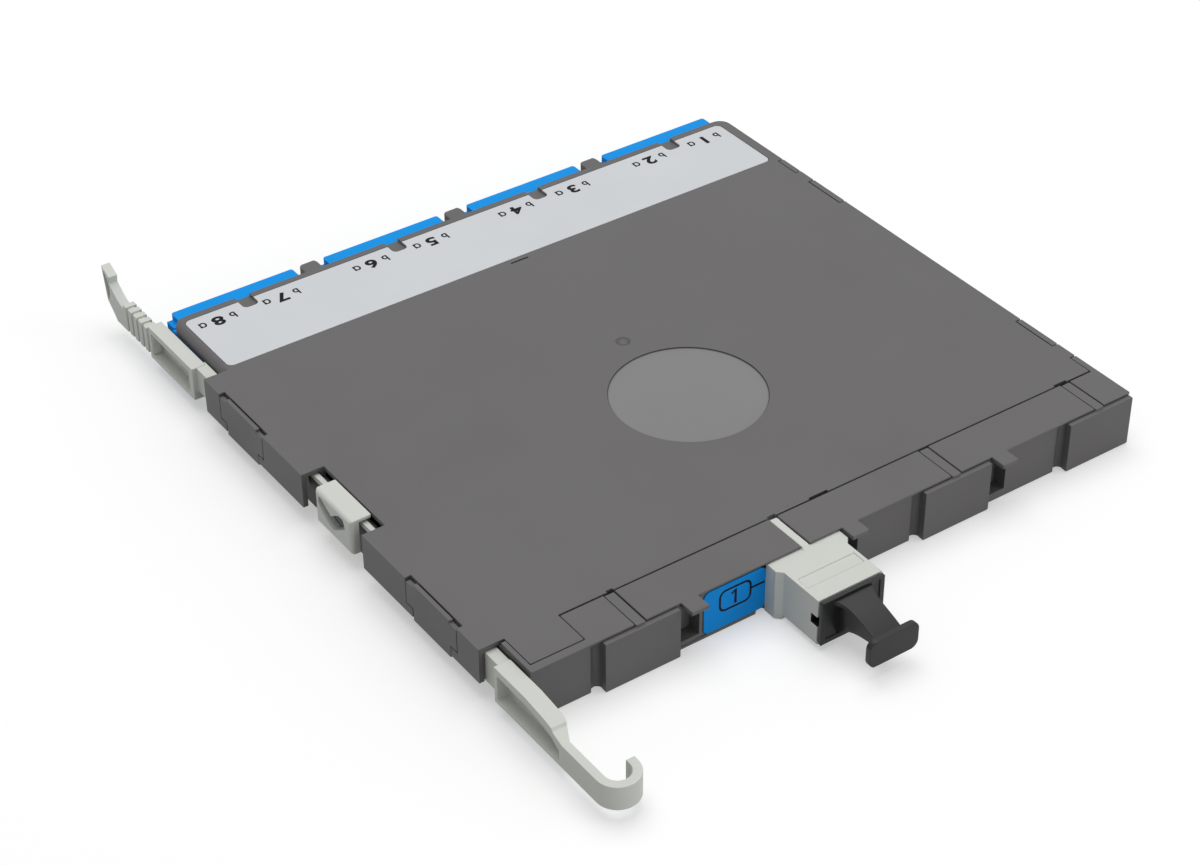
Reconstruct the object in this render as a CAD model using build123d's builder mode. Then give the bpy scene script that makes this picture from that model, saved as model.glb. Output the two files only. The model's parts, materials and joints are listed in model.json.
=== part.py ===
"""Fibre distribution module.

A flat closed casing with four quad duplex-type adapters on its front edge and one multi-fibre adapter at its
rear. A release slider runs along the casing's +X side, from a pull tab at the front to a hook at the rear.

Frame: +X towards the slider, +Y towards the rear, +Z up. The origin lies on the casing's underside, midway
across its width. Sizes are in millimetres.
"""

import os
from math import atan2, tan

from build123d import *

os.makedirs("parts", exist_ok=True)

# Casing
casing_width = 130.0
casing_height = 10.5
casing_front = -59.5
casing_rear = 57.7
wall = 1.0
floor_thickness = 0.8
deck_thickness = 0.45
lid_thickness = 0.9
front_corner_radius = 2.5
deck_overhang = 0.45

# Clearances
fit = 0.1
running = 0.3
seam = 0.16

# Side flange that covers the slider
flange_reach = 3.8
flange_wall = 1.0
flange_bottom = 3.5
flange_front = -40.0
flange_rear = 49.0
lid_skirt = 1.1
lid_edge_round = 1.7
relief_slit = (1.0, 0.3)

# Snap clips between the tray and the flange
clip_ys = (-26.8, 35.05)
clip_head_width = 15.0
clip_neck_width = 11.1
clip_lip_width = 10.8
clip_shoulder = 5.4
clip_drop = 0.6
clip_arm_thickness = 0.7
clip_arm_bottom = 3.0
clip_line = 0.18

# Deck at the rear, with one plate between each two bays
seam_y = 49.4
bay_count = 4
bay_inset = 20.6
bay_half = 6.3
bay_divider = 0.9
bay_front = 47.0
bay_slit = 0.3
bay_joint = 0.06
lid_tongue_width = 10.0
lid_tongue_rear = 56.35
finger_tab_offset = 9.6
finger_tab_width = 3.4
finger_tab_length = 3.05
finger_tab_thickness = 0.9
finger_recess_width = 4.7
finger_recess_depth = 2.8
finger_ledge = 1.6
groove_offset = 8.2
groove_radius = 1.0

# Snap tabs on the wall away from the slider
edge_tabs = ((-39.5, -34.2), (-29.8, -20.4), (30.2, 39.7), (44.4, seam_y + seam))
edge_tab_depth = 1.15

# Details of the lid's top
label_margins = (2.2, 1.8)
label_y = (-58.0, -40.8)
label_corner = 1.3
label_recess = 0.25
label_thickness = 0.2
guide_channel_width = 3.0
guide_channel_length = 2.4
guide_channel_depth = 0.6
disc_offset = (-0.2, 13.35)
disc_radius = 14.2
disc_depth = 0.25
gate_offset = (-0.2, -6.34)
gate_radius = 1.5
gate_depth = 0.3
slit_offset = (0.0, -39.5)
slit_size = (3.8, 0.4)
seam_notches = ((-2.5, 1.4), (-56.4, -53.6), (8.6, 10.2), (41.4, 42.6))
seam_notch_depth = 0.4

# Quad front adapters
quad_count = 4
quad_spread = 2.6
quad_gap = 1.45
quad_front = -63.4
quad_rear = -41.0
quad_corner = 0.6
quad_ear = 1.2
quad_ear_y = (-62.8, -60.0)
quad_ear_bottom = 2.0
quad_ear_drop = 1.1
quad_arm = 1.6
quad_arm_y = (-59.9, -48.0)
ports_per_quad = 4
port_side = 0.3
port_web = 1.55
port_floor = 1.05
port_roof = 0.8
port_web_y = -53.2
port_web_thickness = 1.2
latch_slot_width = 3.4
sleeve_holder_radius = 1.45
sleeve_holder_length = 8.8
post_width = 3.7
post_reach = 4.1
post_corner = 0.9
post_wall = 2.2

# Ceramic sleeves and the plugs behind the front adapters
ferrule_radius = 0.625
sleeve_gap = 0.04
sleeve_wall = 0.2
sleeve_length = 8.4
sleeve_split = 0.25
plug_front = -48.4
plug_rear = -38.0
plug_boot_length = 4.0
plug_boot_radii = (1.7, 0.8)
plug_corner = 0.4
plug_latch_width = 2.6
plug_latch_thickness = 0.7
plug_latch_rise = 1.6
plug_latch_length = 6.0

# Multi-fibre adapter, its plug and its cap
mpo_bay = 1
mpo_width = 13.15
mpo_bottom = 1.0
mpo_rear = 70.0
mpo_front = 47.0
mpo_port_walls = (1.6, 1.0)
mpo_flange = 0.95
mpo_flange_y = (57.8, 60.3, 61.3)
mpo_rib = (0.9, 0.5)
mpo_rib_ramp = 1.0
mpo_notch_length = 1.7
mpo_notch_height = 1.9
mpo_panel = (11.7, 2.7)
mpo_panel_y = 65.15
mpo_panel_depth = 0.2
mpo_plug_corner = 0.6
mpo_plug_y = (40.0, 56.0)
mpo_ferrule = (6.4, 2.5)
mpo_ferrule_length = 2.0
mpo_boot_length = 6.0
mpo_boot_inset = 0.5
mpo_boot_end = (6.0, 3.0)
cap_thickness = 0.7
cap_plug_length = 5.0
cap_plug_wall = 1.0
cap_recess = 0.2
cap_rim = 1.0
grip_root_half = 3.8
grip_waist_half = 2.8
grip_waist_y = 75.0
grip_web_inset = 0.7
grip_plate = 0.9
grip_root_drop = 0.6
grip_sag = 0.35
grip_arch = ((76.8, -0.5), (74.3, -1.1))
grip_bar_y = (80.2, 81.3)
grip_bar_half = 5.05
grip_bar_height = 5.3
grip_bar_corner = 1.5
grip_bar_lift = -0.1
grip_end_drop = 1.5

# Blanks in the other bays
blank_head_half = 7.3
blank_head_rear = 59.05
blank_wall = 1.0
blank_front = 49.6
blank_rib = (0.8, 1.05)

# Small label on the rear wall
tag_margin = 7.45
tag_length = 12.5
tag_drop = 1.0
tag_bottom = 0.9
tag_corner = 1.2
tag_recess = 0.1
tag_thickness = 0.2

# Fibres
fanout_y = (18.0, 28.0)
fanout_height = 5.4
fanout_margin = 1.0
fibre_pitch = 1.6
fibre_radius = 0.3
fibre_bend_y = (-22.0, 9.0)
fibre_bend_limit = 30.0
ribbon_size = (4.2, 0.4)

# Release slider. Heights below that end in rise or drop count from its top face.
slider_setback = 0.3
slider_thickness = 2.8
slider_bottom = 2.6
slider_drop = 1.1
strip_bottom = 4.2
shank_bottom = 3.4
shank_rear = (44.9, 53.0)
slim_strip = (1.0, 1.0)
slim_margin = 1.0
frame_y = (-62.2, -45.3)
frame_pocket_y = (-61.3, -46.8)
frame_rims = (0.8, 1.3)
recess_depth = 2.1
grip_rib_count = 5
grip_rib_pitch = 2.05
grip_rib_length = 1.3
grip_rib_thickness = 2.3
grip_rib_insets = (0.5, 0.9)
grip_core_inset = 0.4
tab_thickness = 1.85
tab_top = ((0.1, -1.65), (-1.15, -1.45), (-3.15, -0.35), (-5.05, 1.05), (-4.8, 2.5), (-7.65, 3.85))
tab_bottom = ((-7.15, 1.9), (-6.65, -2.5), (-6.45, -3.3), (-5.15, -4.4), (-3.15, -6.3), (0.1, -6.3))
tab_eye = ((-6.1, -3.0), (-6.6, -0.3), (-7.15, 2.8), (-5.4, 0.8))
tab_eye_depth = 1.3
latch_y = (-1.4, 10.2)
latch_travel = 3.0
latch_room = (1.3, 0.8)
latch_lap = 0.35
latch_wall_drop = 2.4
latch_corner = 0.8
latch_plate = 1.8
latch_neck_inset = 1.2
cam_slot = ((1.0, 2.2), (1.25, 1.1), (1.95, 0.9), (5.3, 2.75), (6.05, 2.1), (7.8, 1.05), (9.1, 1.0),
            (9.5, 1.75), (9.7, 2.7), (7.4, 4.3), (5.6, 5.45), (4.3, 5.1), (3.1, 4.4), (1.9, 3.45))
arm_y = (52.8, 67.0)
arm_bottom = 2.5
arm_rise = 0.25
arm_slope = ((61.5, 0.25), (66.8, -0.35), (68.5, -0.75), (68.8, -1.3), (70.9, -2.1))
arm_pocket = ((53.6, -6.0), (53.6, -1.2), (61.5, -1.3), (66.4, -2.0), (68.3, -2.6), (70.4, -3.9), (70.4, -6.0))
narrow_thickness = 1.6
narrow_y = 71.2
narrow_drop = 2.2
hook_centre_y = 80.3
hook_inner_radius = 2.25
hook_tip_length = 1.0

# Places worked out from the sizes above
outer_x = casing_width / 2
tray_right = outer_x - flange_reach
tray_left = -outer_x
middle_x = (tray_left + tray_right) / 2
lid_under = casing_height - lid_thickness
deck_under = casing_height - deck_thickness
skirt_bottom = lid_under - lid_skirt
wall_top = lid_under - fit / 2
block_top = deck_under - fit
deck_rear = casing_rear + deck_overhang
flange_inner = outer_x - flange_wall
clip_top = casing_height - clip_drop
lid_tongue_x = (tray_right - wall - lid_tongue_width, tray_right - wall)
label_x = (tray_left + label_margins[0], tray_right - label_margins[1])
disc_centre = (middle_x + disc_offset[0], disc_offset[1])
gate_centre = (middle_x + gate_offset[0], gate_offset[1])
slit_centre = (middle_x + slit_offset[0], slit_offset[1])
latch_gap_y = (latch_y[0] - latch_travel - latch_room[0], latch_y[1] + latch_travel + latch_room[1])

bay_first_x = tray_right - bay_inset
bay_pitch = (bay_first_x - tray_left - blank_head_half - fit / 2) / (bay_count - 1)
bay_xs = [bay_first_x - bay_pitch * i for i in range(bay_count)]
bay_ribs = [mpo_rib if i == mpo_bay else blank_rib for i in range(bay_count)]

quad_bottom = floor_thickness + fit
quad_top = lid_under - fit
quad_pitch = (tray_right - tray_left + quad_spread) / quad_count
quad_width = quad_pitch - post_width - 2 * quad_gap
quad_first_x = middle_x + quad_pitch * (quad_count - 1) / 2 + fit
quad_xs = [quad_first_x - quad_pitch * i for i in range(quad_count)]
post_xs = [(a + b) / 2 for a, b in zip(quad_xs, quad_xs[1:])]
port_pitch = (quad_width - 2 * port_side) / ports_per_quad
port_square = port_pitch - port_web
port_axis_z = quad_bottom + port_floor + port_square / 2
latch_slot_top = quad_top - port_roof
plug_square = port_square - 2 * fit
port_offsets = [port_pitch * (i - (ports_per_quad - 1) / 2) for i in range(ports_per_quad)]
port_xs = [x - port_offset for x in quad_xs for port_offset in port_offsets]
port_names = [f"{8 - i // 2}{'ab'[i % 2]}" for i in range(len(port_xs))]

mpo_x = bay_xs[mpo_bay]
mpo_mid_z = (mpo_bottom + block_top) / 2
mpo_port = (mpo_width - 2 * mpo_port_walls[0], block_top - mpo_bottom - 2 * mpo_port_walls[1])
mpo_flange_half = mpo_width / 2 + mpo_flange
mpo_plug_body = (mpo_port[0] - 2 * fit, mpo_port[1] - 2 * fit)
tag_x = (mpo_x + tag_margin, mpo_x + tag_margin + tag_length)
tag_z = (tag_bottom, casing_height - tag_drop)

slider_outer = outer_x - slider_setback
slider_inner = slider_outer - slider_thickness
slider_top = casing_height - slider_drop
strip_inner = tray_right + running
strip_outer = flange_inner - running
strip_top = lid_under - running
latch_cap_x = tray_right - latch_lap
latch_cap_bottom = lid_under + running - fit
slim_y = (latch_gap_y[0] - latch_travel - slim_margin, latch_gap_y[1] + latch_travel + slim_margin)
grip_front = frame_y[0] - grip_rib_count * grip_rib_pitch


def rectangle(x_range, y_range, mode=Mode.ADD):
    """Add or cut a rectangle given by its limits in the sketch being drawn."""
    with Locations(((x_range[0] + x_range[1]) / 2, (y_range[0] + y_range[1]) / 2)):
        Rectangle(abs(x_range[1] - x_range[0]), abs(y_range[1] - y_range[0]), mode=mode)


def side_plane(x):
    """A plane facing +X, whose own axes run along +Y and +Z."""
    return Plane(origin=(x, 0, 0), x_dir=(0, 1, 0), z_dir=(1, 0, 0))


def rear_plane(x, y, z=0):
    """A plane facing +Y, whose own axes run along -X and +Z."""
    return Plane(origin=(x, y, z), x_dir=(-1, 0, 0), z_dir=(0, 1, 0))


def front_plane(x, y, z=0):
    """A plane facing -Y, whose own axes run along +X and +Z."""
    return Plane(origin=(x, y, z), x_dir=(1, 0, 0), z_dir=(0, -1, 0))


def clip_outline(centre, line):
    """The T shape of a snap clip seen from the side, drawn larger by line on each side."""
    head = clip_head_width / 2 + line
    neck = clip_neck_width / 2 + line
    rectangle((centre - neck, centre + neck), (clip_arm_bottom - line, clip_shoulder))
    rectangle((centre - head, centre + head), (clip_shoulder - line, clip_top))


# Tray: floor, walls, dividers, deck plates, posts and snap clips in one moulding
with BuildSketch() as footprint:
    rectangle((tray_left, tray_right), (casing_front, casing_rear))
    fillet(footprint.vertices().group_by(Axis.Y)[0], radius=front_corner_radius)
    for bay_x in bay_xs[:-1]:
        recess_right = bay_x - blank_head_half
        rectangle((recess_right - finger_recess_width, recess_right),
                  (casing_rear - finger_recess_depth, casing_rear), mode=Mode.SUBTRACT)

with BuildPart() as base_tray:
    extrude(footprint.sketch, amount=floor_thickness)

    # Ledge at the foot of each finger recess
    with BuildSketch():
        for bay_x in bay_xs[:-1]:
            recess_right = bay_x - blank_head_half
            rectangle((recess_right - finger_recess_width, recess_right),
                      (casing_rear - finger_recess_depth, casing_rear))
    extrude(amount=finger_ledge)

    with BuildSketch(Plane.XY.offset(floor_thickness)) as walls:
        add(footprint.sketch)
        offset(footprint.sketch, amount=-wall, mode=Mode.SUBTRACT)
        rectangle((tray_left - 1, tray_right + 1), (casing_front - 1, quad_arm_y[1] + 2), mode=Mode.SUBTRACT)
        rectangle((tray_left, tray_left + wall), (casing_front + front_corner_radius, 0))
        rectangle((tray_right - wall - fit, tray_right + fit), latch_gap_y, mode=Mode.SUBTRACT)
        for bay_x in bay_xs:
            rectangle((bay_x - bay_half, bay_x + bay_half), (casing_rear - 2 * wall, casing_rear + 1),
                      mode=Mode.SUBTRACT)
    extrude(amount=wall_top - floor_thickness)

    # The wall is lower beside the latch, and under the lid's skirt
    with BuildSketch(Plane.XY.offset(floor_thickness)):
        rectangle((tray_right - wall, tray_right), (latch_gap_y[0] - fit, latch_gap_y[1] + fit))
    extrude(amount=casing_height - latch_wall_drop - floor_thickness)
    with BuildSketch(Plane.XY.offset(skirt_bottom - fit)):
        rectangle((tray_right - wall - running - fit, tray_right + fit), (casing_front, flange_front))
    extrude(amount=casing_height, mode=Mode.SUBTRACT)

    # Dividers at each side of a bay
    with BuildSketch(Plane.XY.offset(floor_thickness)) as dividers:
        for bay_x in bay_xs:
            for side in (1, -1):
                near = bay_x + side * bay_half
                far = near + side * bay_divider
                if far > tray_left + wall:
                    rectangle((near, far), (bay_front, casing_rear))
    extrude(amount=wall_top - floor_thickness)

    # The same walls behind the lid reach up to the deck
    with BuildSketch(Plane.XY.offset(wall_top)):
        add(walls.sketch)
        add(dividers.sketch)
        rectangle((tray_left - 1, tray_right + 1), (casing_front - 1, seam_y + seam), mode=Mode.SUBTRACT)
        rectangle((lid_tongue_x[0] - seam, lid_tongue_x[1] + seam), (seam_y - 1, lid_tongue_rear + seam),
                  mode=Mode.SUBTRACT)
    extrude(amount=deck_under - wall_top)

    # Posts between the quad adapters, with rounded noses
    with BuildSketch(Plane.XY) as posts:
        for post_x in post_xs:
            rectangle((post_x - post_width / 2, post_x + post_width / 2),
                      (casing_front - post_reach, quad_arm_y[0] - fit))
        fillet(posts.vertices().group_by(Axis.Y)[0], radius=post_corner)
        for post_x in post_xs:
            rectangle((post_x - post_wall / 2, post_x + post_wall / 2), (quad_arm_y[0] - 1, quad_rear))
    extrude(amount=quad_top)

    # Deck: the rim and the plates between the bays
    with BuildSketch(Plane.XY.offset(deck_under)) as deck:
        rectangle((tray_left, tray_right), (seam_y + seam, deck_rear))
        rectangle((lid_tongue_x[0] - seam, lid_tongue_x[1] + seam), (seam_y - 1, lid_tongue_rear + seam),
                  mode=Mode.SUBTRACT)
        for bay_x, rib in zip(bay_xs, bay_ribs):
            rectangle((bay_x - rib[0] - bay_slit, bay_x + rib[1] + bay_joint), (seam_y - 1, deck_rear + 1),
                      mode=Mode.SUBTRACT)
    extrude(amount=deck_thickness)

    # Finger tabs, which stand out past the rear wall
    with BuildSketch(Plane.XY.offset(casing_height - finger_tab_thickness)):
        for bay_x in bay_xs[:-1]:
            tab_x = bay_x - finger_tab_offset
            rectangle((tab_x - finger_tab_width / 2, tab_x + finger_tab_width / 2),
                      (casing_rear - finger_recess_depth, deck_rear + finger_tab_length))
    extrude(amount=finger_tab_thickness)
    tab_ends = base_tray.edges().filter_by(Axis.X).filter_by_position(Axis.Y, deck_rear + 1, deck_rear + 9)
    fillet(tab_ends, radius=running)

    # Snap tabs on the edge away from the slider, flush with the lid
    with BuildSketch(Plane.XY.offset(wall_top - fit)):
        for start, end in edge_tabs:
            rectangle((tray_left, tray_left + edge_tab_depth), (start, end))
    extrude(amount=casing_height - wall_top + fit)

    # Snap clips: an arm under the slider, then a T-headed tongue in the flange's window
    for clip_y in clip_ys:
        with BuildSketch(Plane.XY.offset(clip_arm_bottom)):
            rectangle((tray_right - wall / 2, outer_x),
                      (clip_y - clip_neck_width / 2, clip_y + clip_neck_width / 2))
        extrude(amount=clip_arm_thickness)
        with BuildSketch(side_plane(flange_inner + fit)):
            clip_outline(clip_y, 0)
            rectangle((clip_y - clip_lip_width / 2, clip_y + clip_lip_width / 2), (clip_top - 1, casing_height))
        extrude(amount=flange_wall - fit)

    # Upright grooves beside the bays, and the bed of the rear label
    with BuildSketch(Plane.XY):
        for bay_x in bay_xs:
            with Locations((bay_x + groove_offset, casing_rear + fit)):
                Circle(groove_radius)
    extrude(amount=deck_under, mode=Mode.SUBTRACT)
    with BuildSketch(rear_plane(0, casing_rear)) as tag_bed:
        rectangle((-tag_x[1] - fit, -tag_x[0] + fit), (tag_z[0] - fit, tag_z[1] + fit))
        fillet(tag_bed.vertices(), radius=tag_corner)
    extrude(amount=-tag_recess, mode=Mode.SUBTRACT)

base_tray.part.label = "base_tray"
export_step(base_tray.part, "parts/base_tray.step")


# Lid: top plate and side flange in one moulding
skirt_rear = flange_front - relief_slit[1]
with BuildPart() as lid:
    # Front part: its edge on the slider's side is well rounded, and is hollowed to leave a skirt
    with BuildSketch(front_plane(0, skirt_rear)) as section:
        rectangle((tray_left, tray_right), (skirt_bottom, casing_height))
        fillet(section.vertices().group_by(Axis.Y)[-1].sort_by(Axis.X)[-1], radius=lid_edge_round)
    extrude(amount=skirt_rear - casing_front)
    with BuildSketch(Plane.XY.offset(skirt_bottom)) as rim:
        rectangle((tray_left, tray_right), (casing_front, skirt_rear))
        fillet(rim.vertices().group_by(Axis.Y)[0], radius=front_corner_radius)
    extrude(amount=casing_height - skirt_bottom, mode=Mode.INTERSECT)
    with BuildSketch(Plane.XY.offset(skirt_bottom - 1)):
        rectangle((tray_left - 1, tray_right - wall - running), (casing_front - 1, flange_front))
    extrude(amount=lid_skirt + 1, mode=Mode.SUBTRACT)

    # Plate behind it
    with BuildSketch(Plane.XY.offset(lid_under)):
        with BuildLine():
            Polyline(
                (tray_left, skirt_rear), (tray_right, skirt_rear), (tray_right, flange_front),
                (outer_x, flange_front), (outer_x, flange_rear), (lid_tongue_x[1], flange_rear),
                (lid_tongue_x[1], lid_tongue_rear), (lid_tongue_x[0], lid_tongue_rear),
                (lid_tongue_x[0], seam_y - seam), (tray_left, seam_y - seam), close=True)
        make_face()
        rectangle((latch_cap_x - running, outer_x + 1), latch_gap_y, mode=Mode.SUBTRACT)
        rectangle((tray_right - relief_slit[0], tray_right + 1),
                  (flange_front - relief_slit[1], flange_front), mode=Mode.SUBTRACT)
        for start, end in seam_notches:
            rectangle((middle_x + start, middle_x + end), (seam_y - seam - seam_notch_depth, seam_y),
                      mode=Mode.SUBTRACT)
        for start, end in edge_tabs:
            rectangle((tray_left - 1, tray_left + edge_tab_depth + clip_line),
                      (start - clip_line, end + clip_line), mode=Mode.SUBTRACT)
        for clip_y in clip_ys:
            head = clip_head_width / 2 + clip_line
            rectangle((flange_inner - clip_line, outer_x + 1), (clip_y - head, clip_y + head),
                      mode=Mode.SUBTRACT)
    extrude(amount=lid_thickness)

    # Flange over the slider, with a window for each clip
    with BuildSketch(side_plane(flange_inner)):
        rectangle((flange_front, flange_rear), (flange_bottom, casing_height))
        rectangle(latch_gap_y, (flange_bottom - 1, casing_height + 1), mode=Mode.SUBTRACT)
    extrude(amount=flange_wall)
    for clip_y in clip_ys:
        with BuildSketch(side_plane(flange_inner - clip_line)):
            clip_outline(clip_y, clip_line)
            rectangle((clip_y - clip_head_width / 2 - clip_line, clip_y + clip_head_width / 2 + clip_line),
                      (clip_top - 1, casing_height + 1))
        extrude(amount=flange_wall + 1, mode=Mode.SUBTRACT)

    # Bed of the long label and the guide channels in the front edge
    with BuildSketch(Plane.XY.offset(casing_height)) as label_bed:
        rectangle((label_x[0] - fit, label_x[1] + fit), (label_y[0] - fit, label_y[1] + fit))
        fillet(label_bed.vertices(), radius=label_corner)
    extrude(amount=-label_recess, mode=Mode.SUBTRACT)
    with BuildSketch(Plane.XY.offset(casing_height)) as guides:
        for quad_x in quad_xs:
            rectangle((quad_x - guide_channel_width / 2, quad_x + guide_channel_width / 2),
                      (label_y[0] - 3, label_y[0] + guide_channel_length))
        fillet(guides.vertices().group_by(Axis.Y)[-1], radius=guide_channel_width / 3)
    extrude(amount=-guide_channel_depth, mode=Mode.SUBTRACT)

    # Round recess, gate mark and the slit behind the label
    with BuildSketch(Plane.XY.offset(casing_height)):
        with Locations(disc_centre):
            Circle(disc_radius)
    extrude(amount=-disc_depth, mode=Mode.SUBTRACT)
    gate_sphere = (gate_radius ** 2 + gate_depth ** 2) / (2 * gate_depth)
    with Locations((gate_centre[0], gate_centre[1], casing_height + gate_sphere - gate_depth)):
        Sphere(gate_sphere, mode=Mode.SUBTRACT)
    with BuildSketch(Plane.XY.offset(casing_height)):
        with Locations(slit_centre):
            Rectangle(*slit_size)
    extrude(amount=-lid_thickness, mode=Mode.SUBTRACT)

lid.part.label = "lid"
export_step(lid.part, "parts/lid.step")


# Long label in the lid's bed, cut out round each guide channel
with BuildPart() as port_label:
    with BuildSketch(Plane.XY.offset(casing_height - label_recess)) as label_sheet:
        rectangle(label_x, label_y)
        fillet(label_sheet.vertices(), radius=label_corner - fit)
        with BuildSketch(mode=Mode.SUBTRACT) as label_cuts:
            for quad_x in quad_xs:
                half = guide_channel_width / 2 + fit
                rectangle((quad_x - half, quad_x + half),
                          (label_y[0] - 1, label_y[0] + guide_channel_length + fit))
            fillet(label_cuts.vertices().group_by(Axis.Y)[-1], radius=guide_channel_width / 3)
    extrude(amount=label_thickness)
port_label.part.label = "port_label"
export_step(port_label.part, "parts/port_label.step")

# Small label on the rear wall, beside the multi-fibre adapter
with BuildPart() as rear_label:
    with BuildSketch(rear_plane(0, casing_rear - tag_recess)) as tag:
        rectangle((-tag_x[1], -tag_x[0]), tag_z)
        fillet(tag.vertices(), radius=tag_corner)
    extrude(amount=tag_thickness)
rear_label.part.label = "rear_label"
export_step(rear_label.part, "parts/rear_label.step")


# Quad adapters, numbered from the slider's side
web_y = (port_web_y - port_web_thickness / 2, port_web_y + port_web_thickness / 2)
holder_rear = port_web_y + sleeve_holder_length / 2
sleeve_inner = ferrule_radius + sleeve_gap
holder_bore = sleeve_inner + sleeve_wall + sleeve_gap
for index, quad_x in enumerate(quad_xs):
    with BuildPart() as lc_adapter:
        with BuildSketch(Plane.XY.offset(quad_bottom)) as body:
            rectangle((quad_x - quad_width / 2, quad_x + quad_width / 2), (quad_front, quad_rear))
            fillet(body.vertices().group_by(Axis.Y)[0], radius=quad_corner)
        extrude(amount=quad_top - quad_bottom)
        with BuildSketch(Plane.XY.offset(quad_ear_bottom)):
            rectangle((quad_x, quad_x + quad_width / 2 + quad_ear), quad_ear_y)
        extrude(amount=quad_top - quad_ear_drop - quad_ear_bottom)
        with BuildSketch(Plane.XY.offset(quad_bottom)):
            rectangle((quad_x, quad_x + quad_width / 2 + quad_arm), quad_arm_y)
        extrude(amount=skirt_bottom - 2 * fit - quad_bottom)
        for start, end in ((quad_front, web_y[0]), (web_y[1], quad_rear)):
            with BuildSketch(front_plane(quad_x, end, port_axis_z)):
                with Locations(*[(port_offset, 0) for port_offset in port_offsets]):
                    Rectangle(port_square, port_square)
                slot_height = latch_slot_top - port_axis_z
                with Locations(*[(port_offset, slot_height / 2) for port_offset in port_offsets]):
                    Rectangle(latch_slot_width, slot_height)
            extrude(amount=end - start, mode=Mode.SUBTRACT)
        with BuildSketch(front_plane(quad_x, holder_rear, port_axis_z)):
            with Locations(*[(port_offset, 0) for port_offset in port_offsets]):
                Circle(sleeve_holder_radius)
        extrude(amount=sleeve_holder_length)
        with BuildSketch(front_plane(quad_x, holder_rear, port_axis_z)):
            with Locations(*[(port_offset, 0) for port_offset in port_offsets]):
                Circle(holder_bore)
        extrude(amount=sleeve_holder_length, mode=Mode.SUBTRACT)
    lc_adapter.part.label = f"lc_adapter_{index + 1}"
    export_step(lc_adapter.part, f"parts/lc_adapter_{index + 1}.step")

# Split ceramic sleeves in the holders, one set to each adapter
for index, quad_x in enumerate(quad_xs):
    with BuildPart() as sleeves:
        with BuildSketch(front_plane(quad_x, port_web_y + sleeve_length / 2, port_axis_z)):
            with Locations(*[(port_offset, 0) for port_offset in port_offsets]):
                Circle(sleeve_inner + sleeve_wall)
                Circle(sleeve_inner, mode=Mode.SUBTRACT)
            with Locations(*[(port_offset, sleeve_inner) for port_offset in port_offsets]):
                Rectangle(sleeve_split, 3 * sleeve_wall, mode=Mode.SUBTRACT)
        extrude(amount=sleeve_length)
    sleeves.part.label = f"sleeves_{index + 1}"
    export_step(sleeves.part, f"parts/sleeves_{index + 1}.step")

# Plugs behind the adapters: ferrule, housing with its latch, and boot
for port_x, port_name in zip(port_xs, port_names):
    with BuildPart() as lc_plug:
        with BuildSketch(front_plane(port_x, plug_rear, port_axis_z)) as housing:
            Rectangle(plug_square, plug_square)
            chamfer(housing.vertices(), length=plug_corner)
        extrude(amount=plug_rear - plug_front)
        with BuildSketch(front_plane(port_x, plug_front, port_axis_z)):
            Circle(ferrule_radius)
        extrude(amount=plug_front - port_web_y - fit / 2)
        with BuildSketch(front_plane(port_x, plug_rear, port_axis_z)):
            Circle(plug_boot_radii[0])
        with BuildSketch(front_plane(port_x, plug_rear + plug_boot_length, port_axis_z)):
            Circle(plug_boot_radii[1])
        loft()
        # Latch: a thin arm that rises towards the rear
        latch_foot = plug_front + 1
        plug_top = port_axis_z + plug_square / 2
        with BuildSketch(side_plane(port_x - plug_latch_width / 2)):
            with BuildLine():
                Polyline(
                    (latch_foot, plug_top - fit), (latch_foot + plug_latch_length, plug_top + plug_latch_rise),
                    (latch_foot + plug_latch_length, plug_top + plug_latch_rise - plug_latch_thickness),
                    (latch_foot + 2 * plug_latch_thickness, plug_top - fit), close=True)
            make_face()
        extrude(amount=plug_latch_width)
    lc_plug.part.label = f"lc_plug_{port_name}"
    export_step(lc_plug.part, f"parts/lc_plug_{port_name}.step")


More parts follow.
